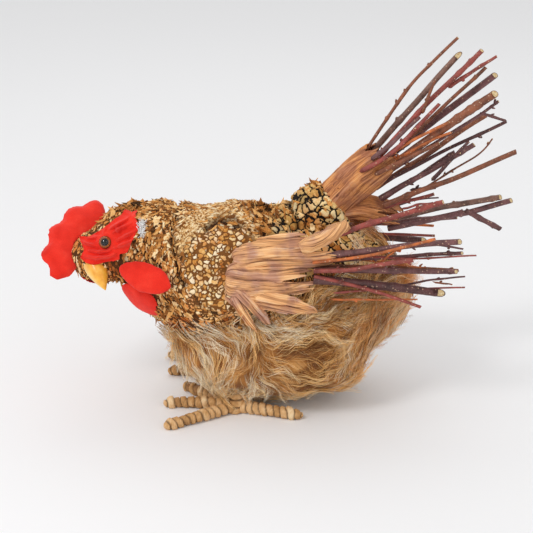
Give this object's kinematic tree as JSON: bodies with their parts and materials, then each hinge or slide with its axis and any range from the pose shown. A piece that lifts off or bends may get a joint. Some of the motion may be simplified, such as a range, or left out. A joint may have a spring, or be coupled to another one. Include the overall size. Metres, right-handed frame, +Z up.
{
  "type": "hen figurine",
  "caption": "Standing hen ornament built up from bark, long fur, palm sheath and twig feathers, with stuffed cloth comb and wattles and strip-wound toes",
  "frame": {"origin": "on the surface that the feet stand on, below the middle of the object's box", "axes": "+X from beak to tail, +Y from the left side to the right side, +Z up"},
  "size_m": [0.397, 0.1554, 0.3118],
  "materials": {
    "bark": "rough flaky bark, pale cells on a dark ground",
    "fur": "long wavy golden brown fur",
    "red_cloth": "matt woven cotton",
    "beak_horn": "satin, slightly waxy",
    "glass_eye": "polished amber glass with a dark pupil",
    "palm_sheath": "dry fibrous sheath with a long grain",
    "twig": "smooth thin bark with pale cut ends",
    "wrap_strip": "dry tan strip wound in a tight spiral"
  },
  "bodies": {
    "root": {"bark_body": "bark", "tail_twig_1": "twig", "tail_twig_2": "twig", "tail_twig_3": "twig", "tail_twig_4": "twig", "tail_twig_5": "twig", "tail_twig_6": "twig", "tail_twig_7": "twig", "tail_twig_8": "twig", "tail_twig_9": "twig", "tail_twig_10": "twig", "tail_twig_11": "twig", "tail_twig_12": "twig", "tail_twig_13": "twig", "tail_twig_14": "twig", "tail_twig_15": "twig", "tail_twig_16": "twig", "left_wing_twig_1": "twig", "left_wing_twig_2": "twig", "left_wing_twig_3": "twig", "left_wing_twig_4": "twig", "left_wing_twig_5": "twig", "left_wing_twig_6": "twig", "left_wing_twig_7": "twig", "left_wing_twig_8": "twig", "left_wing_twig_9": "twig", "right_wing_twig_1": "twig", "right_wing_twig_2": "twig", "right_wing_twig_3": "twig", "right_wing_twig_4": "twig", "right_wing_twig_5": "twig", "right_wing_twig_6": "twig", "left_leg": "wrap_strip", "left_outer_toe": "wrap_strip", "left_middle_toe": "wrap_strip", "left_inner_toe": "wrap_strip", "left_rear_toe": "wrap_strip", "right_leg": "wrap_strip", "right_outer_toe": "wrap_strip", "right_middle_toe": "wrap_strip", "right_inner_toe": "wrap_strip", "right_rear_toe": "wrap_strip", "fur_belly": "fur", "beak": "beak_horn", "comb": "red_cloth", "left_wattle": "red_cloth", "right_wattle": "red_cloth", "left_eye": "glass_eye", "left_cheek_patch": "red_cloth", "right_eye": "glass_eye", "right_cheek_patch": "red_cloth", "tail_sheath": "palm_sheath", "left_wing_sheath": "palm_sheath", "right_wing_sheath": "palm_sheath"}
  },
  "joints": []
}
